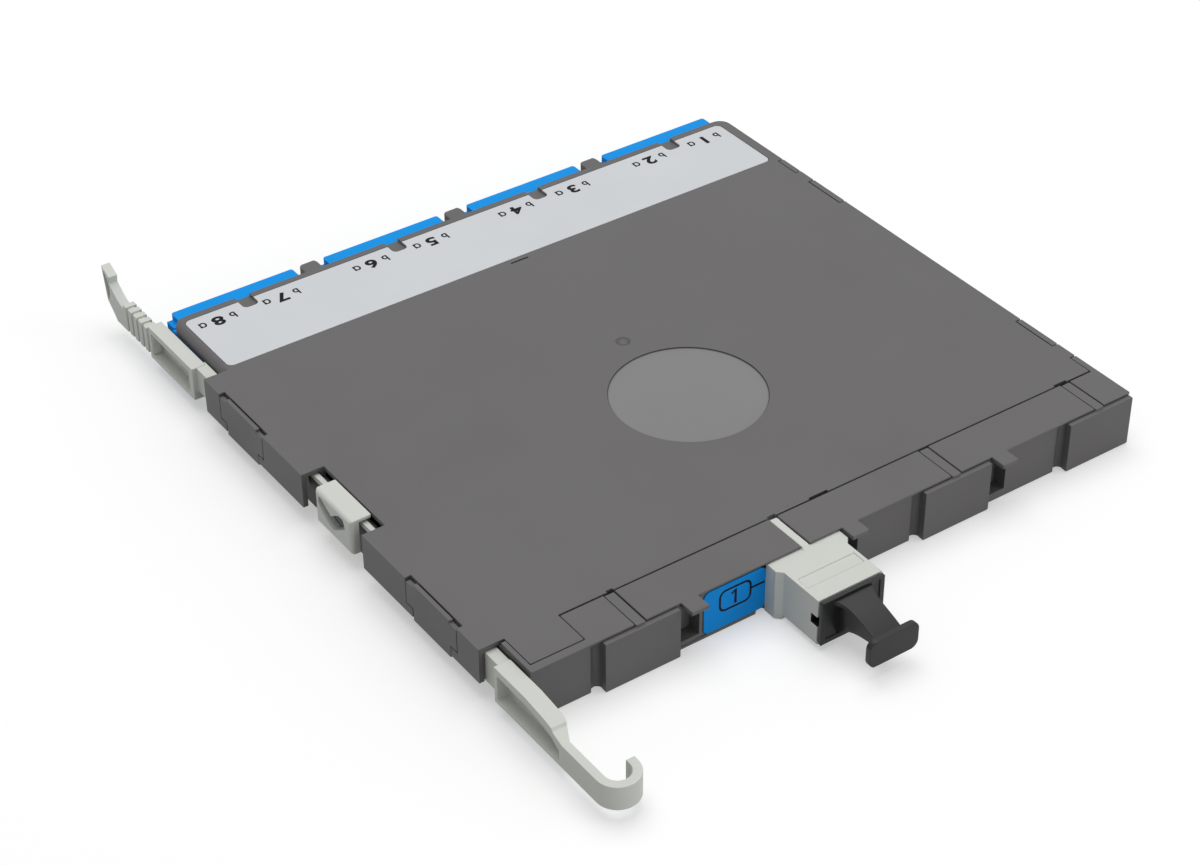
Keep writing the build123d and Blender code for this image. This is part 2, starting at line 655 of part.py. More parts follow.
# Multi-fibre adapter in its bay, with the rib that shows between two deck plates
inside_half = bay_half - fit
with BuildPart() as mpo_adapter:
    with BuildSketch(rear_plane(mpo_x, casing_rear)):
        rectangle((-mpo_width / 2, mpo_width / 2), (mpo_bottom, block_top))
    extrude(amount=mpo_rear - casing_rear)
    with BuildSketch(rear_plane(mpo_x, mpo_front)):
        rectangle((-inside_half, inside_half), (mpo_bottom, quad_top))
    extrude(amount=casing_rear - mpo_front)
    with BuildSketch(side_plane(mpo_x - mpo_rib[0])):
        with BuildLine():
            Polyline(
                (seam_y + 2 * seam, mpo_mid_z), (seam_y + 2 * seam, casing_height - fit),
                (deck_rear, casing_height - fit), (deck_rear + mpo_rib_ramp, block_top),
                (deck_rear + mpo_rib_ramp, mpo_mid_z), close=True)
        make_face()
    extrude(amount=mpo_rib[0] + mpo_rib[1])
    # Flange outside the wall, faired into the body
    with BuildSketch(Plane.XY.offset(fit)):
        with BuildLine():
            Polyline(
                (mpo_x - mpo_flange_half, mpo_flange_y[0]), (mpo_x - mpo_flange_half, mpo_flange_y[1]),
                (mpo_x - mpo_width / 2, mpo_flange_y[2]), (mpo_x + mpo_width / 2, mpo_flange_y[2]),
                (mpo_x + mpo_flange_half, mpo_flange_y[1]), (mpo_x + mpo_flange_half, mpo_flange_y[0]),
                close=True)
        make_face()
    extrude(amount=block_top - fit)
    # Socket right through, two side notches at its mouth and the bare panel on top
    with BuildSketch(rear_plane(mpo_x, mpo_front, mpo_mid_z)):
        Rectangle(*mpo_port)
    extrude(amount=mpo_rear - mpo_front, mode=Mode.SUBTRACT)
    with BuildSketch(side_plane(mpo_x - mpo_width)):
        rectangle((mpo_rear - mpo_notch_length, mpo_rear + 1),
                  (mpo_mid_z - mpo_notch_height / 2, mpo_mid_z + mpo_notch_height / 2))
    extrude(amount=2 * mpo_width, mode=Mode.SUBTRACT)
    with BuildSketch(Plane.XY.offset(block_top)):
        with Locations((mpo_x, mpo_panel_y)):
            Rectangle(*mpo_panel)
    extrude(amount=-mpo_panel_depth, mode=Mode.SUBTRACT)
mpo_adapter.part.label = "mpo_adapter"
export_step(mpo_adapter.part, "parts/mpo_adapter.step")

# Plug behind the multi-fibre adapter: ferrule, housing and boot
with BuildPart() as mpo_plug:
    with BuildSketch(rear_plane(mpo_x, mpo_plug_y[0], mpo_mid_z)) as mpo_housing:
        Rectangle(*mpo_plug_body)
        chamfer(mpo_housing.vertices(), length=mpo_plug_corner)
    extrude(amount=mpo_plug_y[1] - mpo_plug_y[0])
    with BuildSketch(rear_plane(mpo_x, mpo_plug_y[1], mpo_mid_z)):
        Rectangle(*mpo_ferrule)
    extrude(amount=mpo_ferrule_length)
    with BuildSketch(rear_plane(mpo_x, mpo_plug_y[0] - mpo_boot_length, mpo_mid_z)):
        Rectangle(*mpo_boot_end)
    with BuildSketch(rear_plane(mpo_x, mpo_plug_y[0], mpo_mid_z)):
        Rectangle(mpo_plug_body[0] - 2 * mpo_boot_inset, mpo_plug_body[1] - 2 * mpo_boot_inset)
    loft()
mpo_plug.part.label = "mpo_plug"
export_step(mpo_plug.part, "parts/mpo_plug.step")

# Cap in the rear socket: a hollow plug, a rimmed plate and a sloping pull with a cross bar
cap_start = mpo_rear + running
cap_end = cap_start + cap_thickness
cap_z = (mpo_bottom + fit, block_top - fit)
cap_half = mpo_width / 2 - fit
cap_plug_size = (mpo_port[0] - 2 * running, mpo_port[1] - 2 * running)
grip_start = cap_end - cap_recess
grip_length = grip_bar_y[0] - grip_start
grip_root_z = cap_z[1] - grip_root_drop
bar_mid_z = mpo_mid_z + grip_bar_lift
grip_end_z = bar_mid_z + grip_bar_height / 2 - grip_end_drop
with BuildPart() as mpo_dust_cap:
    with BuildSketch(rear_plane(mpo_x, cap_start)) as cap_plate:
        rectangle((-cap_half, cap_half), cap_z)
        fillet(cap_plate.vertices(), radius=running)
    extrude(amount=cap_thickness)
    with BuildSketch(rear_plane(mpo_x, cap_start - cap_plug_length, mpo_mid_z)):
        Rectangle(*cap_plug_size)
        Rectangle(cap_plug_size[0] - 2 * cap_plug_wall, cap_plug_size[1] - 2 * cap_plug_wall,
                  mode=Mode.SUBTRACT)
    extrude(amount=cap_plug_length)
    with BuildSketch(rear_plane(mpo_x, cap_end)):
        rectangle((-cap_half + cap_rim, cap_half - cap_rim), (cap_z[0] + cap_rim, cap_z[1] - cap_rim / 2))
    extrude(amount=-cap_recess, mode=Mode.SUBTRACT)
    # Pull: a sloping plate that narrows to a waist, on a web whose lower edge is hollow
    with BuildSketch(side_plane(mpo_x - grip_root_half)):
        with BuildLine():
            top_mid = (grip_start + grip_length / 2, (grip_root_z + grip_end_z) / 2 + grip_sag)
            low_mid = (top_mid[0], top_mid[1] - grip_plate)
            ThreePointArc((grip_start, grip_root_z), top_mid, (grip_bar_y[0], grip_end_z))
            Line((grip_bar_y[0], grip_end_z), (grip_bar_y[0], grip_end_z - grip_plate))
            ThreePointArc((grip_bar_y[0], grip_end_z - grip_plate), low_mid,
                          (grip_start, grip_root_z - grip_plate))
            Line((grip_start, grip_root_z - grip_plate), (grip_start, grip_root_z))
        make_face()
    extrude(amount=2 * grip_root_half)
    with BuildSketch(side_plane(mpo_x - grip_root_half + grip_web_inset)):
        with BuildLine():
            foot = (grip_start, cap_z[0] + cap_rim)
            Polyline(foot, (grip_start, grip_root_z - grip_plate / 2), (top_mid[0], low_mid[1] + fit),
                     (grip_bar_y[0], grip_end_z - grip_plate / 2), (grip_bar_y[0], mpo_mid_z))
            Spline((grip_bar_y[0], mpo_mid_z), *[(y, mpo_mid_z + rise) for y, rise in grip_arch], foot)
        make_face()
    extrude(amount=2 * (grip_root_half - grip_web_inset))
    with BuildSketch(Plane.XY) as waist:
        for side in (1, -1):
            root = (mpo_x + side * grip_root_half, cap_end)
            narrow = (mpo_x + side * grip_waist_half, grip_waist_y)
            end = (mpo_x + side * grip_waist_half, grip_bar_y[0])
            far_x = mpo_x + 2 * side * grip_root_half
            with BuildLine():
                Spline(root, narrow, end, tangents=((-side, 1.2), (0, 1)))
                Polyline(end, (far_x, end[1]), (far_x, root[1]), root)
            make_face()
    extrude(amount=casing_height, mode=Mode.SUBTRACT)
    with BuildSketch(rear_plane(mpo_x, grip_bar_y[0], bar_mid_z)) as bar:
        Rectangle(2 * grip_bar_half, grip_bar_height)
        fillet(bar.vertices(), radius=grip_bar_corner)
    extrude(amount=grip_bar_y[1] - grip_bar_y[0])
mpo_dust_cap.part.label = "mpo_dust_cap"
export_step(mpo_dust_cap.part, "parts/mpo_dust_cap.step")

# Blanks in the other bays: a head over the wall, a hollow body and a rib between the deck plates
blank_xs = [x for i, x in enumerate(bay_xs) if i != mpo_bay]
for index, blank_x in enumerate(blank_xs):
    with BuildPart() as blank:
        with BuildSketch(rear_plane(blank_x, casing_rear + fit)) as head:
            rectangle((-blank_head_half, blank_head_half), (0, block_top))
        extrude(amount=blank_head_rear - casing_rear - fit)
        with BuildSketch(rear_plane(blank_x, blank_front)):
            rectangle((-inside_half, inside_half), (quad_bottom, quad_top))
            rectangle((-inside_half + blank_wall, inside_half - blank_wall),
                      (quad_bottom + blank_wall, quad_top - blank_wall), mode=Mode.SUBTRACT)
        extrude(amount=casing_rear + fit - blank_front)
        with BuildSketch(rear_plane(blank_x, seam_y + 2 * seam)):
            rectangle((-blank_rib[1], blank_rib[0]), (quad_top - blank_wall, casing_height))
        extrude(amount=deck_rear - seam_y)
    blank.part.label = f"adapter_blank_{index + 1}"
    export_step(blank.part, f"parts/adapter_blank_{index + 1}.step")


# Fan-out block, where the ribbon divides
fanout_half = fibre_pitch * len(port_xs) / 2 + fanout_margin
with BuildPart() as fanout_block:
    with BuildSketch(Plane.XY.offset(floor_thickness)) as fanout:
        rectangle((mpo_x - fanout_half, mpo_x + fanout_half), fanout_y)
        fillet(fanout.vertices().group_by(Axis.Y)[-1], radius=front_corner_radius)
    extrude(amount=fanout_height)
fanout_block.part.label = "fanout_block"
export_step(fanout_block.part, "parts/fanout_block.step")

# Ribbon between the fan-out and the multi-fibre plug
with BuildPart() as fibre_ribbon:
    with BuildSketch(rear_plane(mpo_x, fanout_y[1], mpo_mid_z)):
        Rectangle(*ribbon_size)
    extrude(amount=mpo_plug_y[0] - mpo_boot_length - fanout_y[1])
fibre_ribbon.part.label = "fibre_ribbon"
export_step(fibre_ribbon.part, "parts/fibre_ribbon.step")

# Coated fibres, each with two bends between its plug and its place in the fan-out
fibre_start = plug_rear + plug_boot_length
for index, port_x in enumerate(port_xs):
    slot_x = mpo_x + ((len(port_xs) - 1) / 2 - index) * fibre_pitch
    turn = abs(atan2(slot_x - port_x, fibre_bend_y[1] - fibre_bend_y[0]))
    bend_room = min(fibre_bend_y[0] - fibre_start, fanout_y[0] - fibre_bend_y[1])
    bend_radius = 0.9 * bend_room / max(tan(turn / 2), 0.1)
    with BuildPart() as fibre:
        with BuildLine() as route:
            FilletPolyline(
                (port_x, fibre_start, port_axis_z), (port_x, fibre_bend_y[0], port_axis_z),
                (slot_x, fibre_bend_y[1], port_axis_z), (slot_x, fanout_y[0], port_axis_z),
                radius=min(bend_radius, fibre_bend_limit))
        with BuildSketch(Plane(origin=(port_x, fibre_start, port_axis_z), z_dir=(0, 1, 0))):
            Circle(fibre_radius)
        sweep(path=route.line)
    fibre.part.label = f"fibre_{port_names[index]}"
    export_step(fibre.part, f"parts/fibre_{port_names[index]}.step")


# Release slider: pull tab, ribbed grip, frame, strip, latch, arm and hook in one moulding
with BuildPart() as release_slider:
    # Strip inside the flange, slim where it crosses the latch's gap, and its deeper rear end
    with BuildSketch(side_plane(strip_inner)) as strip:
        rectangle((frame_y[1] - 1, shank_rear[1]), (strip_bottom, strip_top))
        rectangle(shank_rear, (shank_bottom, strip_top))
        rectangle(slim_y, (strip_bottom - 1, strip_top + 1), mode=Mode.SUBTRACT)
    extrude(amount=strip_outer - strip_inner)
    with BuildSketch(side_plane(strip_inner)):
        rectangle((slim_y[0] - 1, slim_y[1] + 1), (strip_top - slim_strip[1], strip_top))
    extrude(amount=slim_strip[0])

    # Front frame with its window
    with BuildSketch(side_plane(slider_inner)):
        rectangle(frame_y, (slider_bottom, slider_top))
    extrude(amount=slider_thickness)
    with BuildSketch(side_plane(slider_outer)):
        rectangle(frame_pocket_y, (slider_bottom + frame_rims[0], slider_top - frame_rims[1]))
    extrude(amount=-recess_depth, mode=Mode.SUBTRACT)

    # Ribbed grip: a slimmer core with ribs round it
    grip_z = (slider_bottom + grip_rib_insets[0], slider_top - grip_rib_insets[1])
    with BuildSketch(side_plane(slider_outer - grip_rib_thickness + grip_core_inset)):
        rectangle((grip_front - fit, frame_y[0] + 1),
                  (grip_z[0] + grip_core_inset, grip_z[1] - grip_core_inset))
    extrude(amount=grip_rib_thickness - 2 * grip_core_inset)
    with BuildSketch(side_plane(slider_outer - grip_rib_thickness)):
        for i in range(grip_rib_count):
            rib_y = grip_front + i * grip_rib_pitch
            rectangle((rib_y, rib_y + grip_rib_length), grip_z)
    extrude(amount=grip_rib_thickness)

    # Pull tab: it sweeps up to a raised tip, with a lens-shaped hollow near it
    with BuildSketch(side_plane(slider_outer - tab_thickness)) as tab:
        with BuildLine():
            upper = [(grip_front + reach, slider_top + rise) for reach, rise in tab_top]
            lower = [(grip_front + reach, slider_top + rise) for reach, rise in tab_bottom]
            Spline(*upper[:4])
            Polyline(*upper[3:], *lower[:3])
            Spline(*lower[2:5])
            Polyline(*lower[4:], upper[0])
        make_face()
    extrude(amount=tab_thickness)
    with BuildSketch(side_plane(slider_outer)):
        low, front, high, back = [(grip_front + reach, slider_top + rise) for reach, rise in tab_eye]
        with BuildLine():
            ThreePointArc(low, front, high)
            ThreePointArc(high, back, low)
        make_face()
    extrude(amount=-tab_eye_depth, mode=Mode.SUBTRACT)

    # Latch in the flange's gap: a plate and a cap, flush with the casing, on a neck from the strip
    with BuildSketch(side_plane(outer_x - latch_plate)):
        rectangle(latch_y, (flange_bottom, latch_cap_bottom + fit))
    extrude(amount=latch_plate)
    with BuildSketch(side_plane(strip_inner)):
        rectangle((latch_y[0] + latch_neck_inset, latch_y[1] - latch_neck_inset),
                  (strip_top - slim_strip[1], latch_cap_bottom + fit))
    extrude(amount=slim_strip[0])
    with BuildSketch(side_plane(latch_cap_x)):
        rectangle(latch_y, (latch_cap_bottom, casing_height))
    extrude(amount=outer_x - latch_cap_x)
    side_edges = release_slider.edges().filter_by_position(Axis.X, outer_x, outer_x)
    fillet(side_edges, radius=latch_corner)
    with BuildSketch(side_plane(outer_x)):
        with BuildLine():
            Polyline(*[(latch_y[0] + y, casing_height - drop) for y, drop in cam_slot], close=True)
        make_face()
    extrude(amount=-latch_plate, mode=Mode.SUBTRACT)

    # Rear arm and hook, seen from above
    narrow_inner = slider_outer - narrow_thickness
    hook_x = narrow_inner - hook_inner_radius
    hook_outer = hook_inner_radius + narrow_thickness
    arm_inner = strip_inner + fit
    arm_top = slider_top + arm_rise
    with BuildSketch(Plane.XY.offset(arm_bottom)):
        with BuildLine():
            Polyline((narrow_inner, narrow_y), (slider_outer, narrow_y), (slider_outer, arm_y[0]),
                     (arm_inner, arm_y[0]), (arm_inner, arm_y[1]))
            Spline((arm_inner, arm_y[1]), (narrow_inner, narrow_y), tangents=((0, 1), (0.3, 1)))
        make_face()
        rectangle((narrow_inner, slider_outer), (narrow_y - fit, hook_centre_y))
        with Locations((hook_x, hook_centre_y)):
            Circle(hook_outer)
            Circle(hook_inner_radius, mode=Mode.SUBTRACT)
        rectangle((hook_x - hook_outer - 1, narrow_inner), (hook_centre_y - hook_outer - 1, hook_centre_y),
                  mode=Mode.SUBTRACT)
        rectangle((hook_x - hook_outer, hook_x - hook_inner_radius),
                  (hook_centre_y - hook_tip_length, hook_centre_y))
    extrude(amount=arm_top - arm_bottom)
    hook_end = hook_centre_y + hook_outer + 1
    with BuildSketch(side_plane(hook_x - hook_outer - 1)):
        with BuildLine():
            slope = [(y, slider_top + rise) for y, rise in arm_slope]
            Polyline(*slope, (narrow_y, slider_top - narrow_drop), (hook_end, slider_top - narrow_drop),
                     (hook_end, arm_top + 1), (slope[0][0], arm_top + 1), close=True)
        make_face()
    extrude(amount=2 * hook_outer + 2, mode=Mode.SUBTRACT)
    with BuildSketch(side_plane(slider_outer)):
        with BuildLine():
            Polyline(*[(y, slider_top + rise) for y, rise in arm_pocket], close=True)
        make_face()
    extrude(amount=-recess_depth, mode=Mode.SUBTRACT)
release_slider.part.label = "release_slider"
export_step(release_slider.part, "parts/release_slider.step")
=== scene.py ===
import json
import math

import bmesh
import bpy
from mathutils import Matrix, Vector


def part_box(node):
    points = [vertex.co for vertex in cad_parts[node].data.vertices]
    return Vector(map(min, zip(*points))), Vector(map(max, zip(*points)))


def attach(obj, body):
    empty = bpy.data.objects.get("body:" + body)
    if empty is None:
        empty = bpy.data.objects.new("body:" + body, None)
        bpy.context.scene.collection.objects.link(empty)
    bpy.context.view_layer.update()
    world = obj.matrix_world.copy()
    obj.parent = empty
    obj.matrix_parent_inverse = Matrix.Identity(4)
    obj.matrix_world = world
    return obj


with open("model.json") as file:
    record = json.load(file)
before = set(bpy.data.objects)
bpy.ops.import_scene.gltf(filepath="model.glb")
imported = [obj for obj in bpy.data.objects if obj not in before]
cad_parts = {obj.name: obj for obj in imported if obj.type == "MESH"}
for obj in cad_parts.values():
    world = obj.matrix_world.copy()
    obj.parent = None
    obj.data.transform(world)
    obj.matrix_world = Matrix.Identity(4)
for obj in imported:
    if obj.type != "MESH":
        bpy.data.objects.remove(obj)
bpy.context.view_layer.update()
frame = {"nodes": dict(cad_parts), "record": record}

MM = 0.001
WHITE = (1.0, 1.0, 1.0)

nodes = frame["nodes"]
scene = bpy.context.scene
scene.view_settings.view_transform = "Standard"


# Camera, at the photograph's angle
PHOTO_WIDTH = 1200.0        # pixels
FOCAL_LENGTH = 2668.34      # pixels
SENSOR_WIDTH = 36.0
CAMERA_PLACE = (0.227418, 0.315595, 0.283820)
CAMERA_RIGHT = Vector((-0.817644, 0.575686, -0.006622))
CAMERA_DOWN = Vector((0.347796, 0.484742, -0.802536))
CAMERA_AHEAD = Vector((-0.458799, -0.658491, -0.596567))

camera_data = bpy.data.cameras.new("camera")
camera_data.sensor_width = SENSOR_WIDTH
camera_data.sensor_fit = "HORIZONTAL"
camera_data.lens = SENSOR_WIDTH * FOCAL_LENGTH / PHOTO_WIDTH
camera_data.clip_start = 0.01
camera = bpy.data.objects.new("camera", camera_data)
camera_turn = Matrix((CAMERA_RIGHT, -CAMERA_DOWN, -CAMERA_AHEAD)).transposed().to_4x4()
camera.matrix_world = Matrix.Translation(CAMERA_PLACE) @ camera_turn
scene.collection.objects.link(camera)
scene.camera = camera


# Shader nodes
MIX_FACTOR, MIX_UNDER, MIX_OVER, MIX_RESULT = 0, 6, 7, 2    # sockets of a colour Mix node
RAMP_STOPS = (0.35, 0.65)


def add_node(tree, kind, links=None, values=None, **settings):
    """A node with its settings, then its inputs' values and the sockets that feed them."""
    node = tree.nodes.new(kind)
    for key, setting in settings.items():
        setattr(node, key, setting)
    for key, value in (values or {}).items():
        node.inputs[key].default_value = value
    for key, source in (links or {}).items():
        tree.links.new(source, node.inputs[key])
    return node


def object_place(tree):
    return tree.nodes.new("ShaderNodeTexCoord").outputs["Object"]


def noise(tree, place, scale, detail, rough=0.5):
    values = {"Scale": scale, "Detail": detail, "Roughness": rough}
    return add_node(tree, "ShaderNodeTexNoise", {"Vector": place}, values).outputs["Fac"]


def ramp(tree, value, low, high):
    """A colour that runs from low to high over the middle of the value's range."""
    node = add_node(tree, "ShaderNodeValToRGB", {"Fac": value})
    for element, position, colour in zip(node.color_ramp.elements, RAMP_STOPS, (low, high)):
        element.position = position
        element.color = (*colour, 1.0)
    return node.outputs["Color"]


def span(tree, value, low, high, out_low, out_high):
    """The value's range low to high, mapped on out_low to out_high."""
    values = {"From Min": low, "From Max": high, "To Min": out_low, "To Max": out_high}
    return add_node(tree, "ShaderNodeMapRange", {"Value": value}, values).outputs["Result"]


def combine(tree, operation, first, second):
    """The result of one Math operation on two sockets."""
    return add_node(tree, "ShaderNodeMath", {0: first, 1: second}, operation=operation).outputs[0]


def mix_colour(tree, factor, under, over):
    """under, a socket or a colour, where factor is 0, and the colour over where it is 1."""
    node = add_node(tree, "ShaderNodeMix", {MIX_FACTOR: factor}, data_type="RGBA")
    node.inputs[MIX_OVER].default_value = (*over, 1.0)
    if isinstance(under, bpy.types.NodeSocket):
        tree.links.new(under, node.inputs[MIX_UNDER])
    else:
        node.inputs[MIX_UNDER].default_value = (*under, 1.0)
    return node.outputs[MIX_RESULT]


def shade(colour, factor):
    return tuple(min(1.0, c * factor) for c in colour)


# Materials
def new_material(name, colour, roughness, coat=0.0, specular=0.5):
    """A Principled material with its uniform values on the shader's own sockets."""
    material = bpy.data.materials.new(name)
    material.use_nodes = True
    tree = material.node_tree
    shader = tree.nodes["Principled BSDF"]
    shader.inputs["Base Color"].default_value = (*colour, 1.0)
    shader.inputs["Roughness"].default_value = roughness
    shader.inputs["Coat Weight"].default_value = coat
    shader.inputs["Specular IOR Level"].default_value = specular
    return material, tree, shader


DRIFT_SCALE = 55.0          # of the slow noise that colour and roughness follow
DRIFT_RANGE = (0.3, 0.7)
ROUGHNESS_DRIFT = 0.05
GRAIN_HEIGHT = 0.00005


def moulded(name, colour, roughness, grain=2600.0, bump=0.12, vary=0.06, coat=0.0, specular=0.5):
    """Moulded plastic: a fine spark-eroded grain, slow drifts of colour and of roughness."""
    material, tree, shader = new_material(name, colour, roughness, coat, specular)
    place = object_place(tree)
    slow = noise(tree, place, DRIFT_SCALE, detail=3.0)
    fine = noise(tree, place, grain, detail=2.0, rough=0.6)
    relief = add_node(tree, "ShaderNodeBump", {"Height": fine},
                      {"Strength": bump, "Distance": GRAIN_HEIGHT})
    tint = ramp(tree, slow, shade(colour, 1 - vary), shade(colour, 1 + vary))
    dullness = span(tree, slow, *DRIFT_RANGE, roughness - ROUGHNESS_DRIFT,
                    roughness + ROUGHNESS_DRIFT)
    tree.links.new(tint, shader.inputs["Base Color"])
    tree.links.new(dullness, shader.inputs["Roughness"])
    tree.links.new(relief.outputs["Normal"], shader.inputs["Normal"])
    return material


DARK = (0.089, 0.085, 0.086)
SATIN = (0.180, 0.177, 0.178)
LIGHT = (0.61, 0.63, 0.585)
PORT_BLUE = (0.004, 0.295, 0.80)
FILM_BLUE = (0.005, 0.265, 0.74)
PLUG_BLUE = (0.05, 0.25, 0.62)
BLACK = (0.014, 0.014, 0.015)
INK = (0.005, 0.005, 0.006)
MID_GREY = (0.3, 0.31, 0.32)
CERAMIC = (0.85, 0.84, 0.79)
JACKET_YELLOW = (0.75, 0.58, 0.08)
RIBBON_AQUA = (0.18, 0.5, 0.56)
FILM_GREY = (0.585, 0.608, 0.632)

casing = moulded("casing_plastic", DARK, 0.6, vary=0.015, specular=0.6)
lid_plastic = moulded("lid_plastic", DARK, 0.6, vary=0.015, specular=0.6)
light_grey = moulded("light_plastic", LIGHT, 0.5, vary=0.015, specular=0.25)
blue = moulded("port_plastic", PORT_BLUE, 0.5, vary=0.02, specular=0.08)
black = moulded("cap_plastic", BLACK, 0.42, vary=0.05, specular=0.3)
mid_grey = moulded("plug_plastic", MID_GREY, 0.5, vary=0.05)
plug_blue = moulded("plug_blue_plastic", PLUG_BLUE, 0.45, vary=0.05)
ceramic = moulded("ceramic", CERAMIC, 0.2, grain=4000.0, bump=0.03, vary=0.02, coat=0.4)
jacket = moulded("fibre_jacket", JACKET_YELLOW, 0.4, grain=3000.0, bump=0.05, vary=0.04)
ribbon = moulded("ribbon_coat", RIBBON_AQUA, 0.3, grain=3000.0, bump=0.05, vary=0.05)
paper = moulded("label_film", FILM_GREY, 0.5, grain=5000.0, bump=0.05, vary=0.015)
blue_film = moulded("blue_film", FILM_BLUE, 0.5, grain=5000.0, bump=0.05, vary=0.02, specular=0.1)
ink = moulded("ink", INK, 0.6, grain=6000.0, bump=0.04, vary=0.1, specular=0.1)


# Places painted in a colour of their own
class Painter:
    """Lays colours over a material's base colour, at places given in millimetres."""

    def __init__(self, material):
        self.tree = material.node_tree
        self.base = self.tree.nodes["Principled BSDF"].inputs["Base Color"]
        self.place = add_node(self.tree, "ShaderNodeSeparateXYZ",
                              {0: object_place(self.tree)}).outputs

    def distance_from(self, centre):
        """Distance from an upright axis, in metres."""
        flat = add_node(self.tree, "ShaderNodeCombineXYZ",
                        {"X": self.place["X"], "Y": self.place["Y"]})
        away = add_node(self.tree, "ShaderNodeVectorMath", {0: flat.outputs[0]},
                        {1: (centre[0] * MM, centre[1] * MM, 0.0)}, operation="DISTANCE")
        return away.outputs["Value"]

    def rise(self, value, start, end, top=1.0):
        """0 before start, top after end and in between on the way there."""
        return span(self.tree, value, start * MM, end * MM, 0.0, top)

    def both(self, first, second):
        return combine(self.tree, "MULTIPLY", first, second)

    def within(self, low, high):
        """1 inside a box given by two corners, else 0."""
        factor = None
        for axis, start, end in zip("XYZ", low, high):
            near = add_node(self.tree, "ShaderNodeMath", {0: self.place[axis]},
                            {1: (start + end) / 2 * MM, 2: (end - start) / 2 * MM},
                            operation="COMPARE").outputs[0]
            factor = near if factor is None else self.both(factor, near)
        return factor

    def cover(self, factor, colour):
        """Lay a colour over what is there, where factor is 1."""
        under = self.base.links[0].from_socket
        self.tree.links.new(mix_colour(self.tree, factor, under, colour), self.base)


# The lid: its round recess has a lighter satin floor; its wall and the gate mark's rim are painted
# dark as painted shade.
# Radii and depths below the lid's top at which each colour starts and is whole
DISC_CENTRE = (-2.1, 13.35)
DISC_RADIUS = 14.2
DISC_RADII = (DISC_RADIUS, DISC_RADIUS - 0.3)
DISC_DEPTHS = (0.1, 0.2)
WALL_OUTER_RADII = (DISC_RADIUS + 0.1, DISC_RADIUS)
WALL_INNER_RADII = (DISC_RADIUS - 0.12, DISC_RADIUS - 0.06)
WALL_DEPTHS = (0.02, 0.05)
WALL_SHADE = 0.12
GATE_CENTRE = (-2.1, -6.34)
GATE_RADIUS = 1.5
RIM_OUTER_RADII = (GATE_RADIUS, GATE_RADIUS - 0.2)
RIM_INNER_RADII = (0.2 * GATE_RADIUS, 0.8 * GATE_RADIUS)
RIM_STRENGTH = 0.75
RIM_SHADE = 0.15

lid_paint = Painter(lid_plastic)
lid_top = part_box("lid")[1].z / MM
height = lid_paint.place["Z"]
disc_low, wall_low = (lid_paint.rise(height, lid_top - start, lid_top - end)
                      for start, end in (DISC_DEPTHS, WALL_DEPTHS))
from_disc = lid_paint.distance_from(DISC_CENTRE)
lid_paint.cover(lid_paint.both(lid_paint.rise(from_disc, *DISC_RADII), disc_low), SATIN)

# Painted shade: the recess's wall is painted near black, standing in for the shadow along the
# recess's edge
painted_wall_shade = lid_paint.both(lid_paint.rise(from_disc, *WALL_OUTER_RADII),
                      lid_paint.rise(from_disc, *WALL_INNER_RADII))
lid_paint.cover(lid_paint.both(painted_wall_shade, wall_low), shade(DARK, WALL_SHADE))

# Painted shade: a dark ring round the gate mark's shallow bowl, full near its rim and fading
# towards its middle, stands in for the dimple's shading
from_gate = lid_paint.distance_from(GATE_CENTRE)
painted_rim_shade = lid_paint.both(lid_paint.rise(from_gate, *RIM_OUTER_RADII),
                     lid_paint.rise(from_gate, *RIM_INNER_RADII, RIM_STRENGTH))
lid_paint.cover(painted_rim_shade, shade(DARK, RIM_SHADE))

# Painted shade on the light plastic: its deep places, behind the slider's cam slot and in the side
# notches of the rear adapter, are painted dark where they lie in shadow
CAM_SLOT = ((60.5, -0.9, 3.6), (63.4, 8.9, 9.75))
CAM_SLOT_SHADE = 0.5
NOTCH_X = (4.9, 6.45)       # from the adapter's middle, on either side
NOTCH_Y = (68.2, 69.95)
NOTCH_Z = (4.2, 6.4)
NOTCH_SHADE = 0.2

light_plastic_painted_shade = light_grey.copy()
shade_painter = Painter(light_plastic_painted_shade)
# Painted shade behind the slider's cam slot
shade_painter.cover(shade_painter.within(*CAM_SLOT), shade(DARK, CAM_SLOT_SHADE))
port_low, port_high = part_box("mpo_adapter")
port_x = (port_low.x + port_high.x) / 2 / MM
# Painted shade in both side notches of the rear adapter
for side in (-1, 1):
    notch_x = sorted(port_x + side * x for x in NOTCH_X)
    notch = shade_painter.within(*zip(notch_x, NOTCH_Y, NOTCH_Z))
    shade_painter.cover(notch, shade(DARK, NOTCH_SHADE))

MATERIALS = {
    "casing": casing, "label": paper, "label_blue": blue_film, "port_blue": blue,
    "ceramic": ceramic, "plug_blue": plug_blue, "light_grey": light_grey, "black": black,
    "plug_grey": mid_grey, "ribbon": ribbon, "fibre": jacket,
}
OWN_MATERIALS = {"lid": lid_plastic, "release_slider": light_plastic_painted_shade, "mpo_adapter": light_plastic_painted_shade}


# Edges and shading of the CAD pieces, by modifiers so that their meshes stay as they are
WELD_DISTANCE = 0.000002
BEVEL_ANGLE = 40.0
SMOOTH_ANGLE = 32.0
# Width in millimetres and segments, by the start of a node's name
ROUNDING = {
    "base_tray": (0.1, 1), "lid": (0.08, 1), "release_slider": (0.15, 2),
    "mpo_adapter": (0.15, 2), "mpo_dust_cap": (0.12, 2), "lc_adapter": (0.1, 2),
    "adapter_blank": (0.2, 2), "lc_plug": (0.1, 2), "mpo_plug": (0.15, 2),
    "fanout_block": (0.3, 2),
}


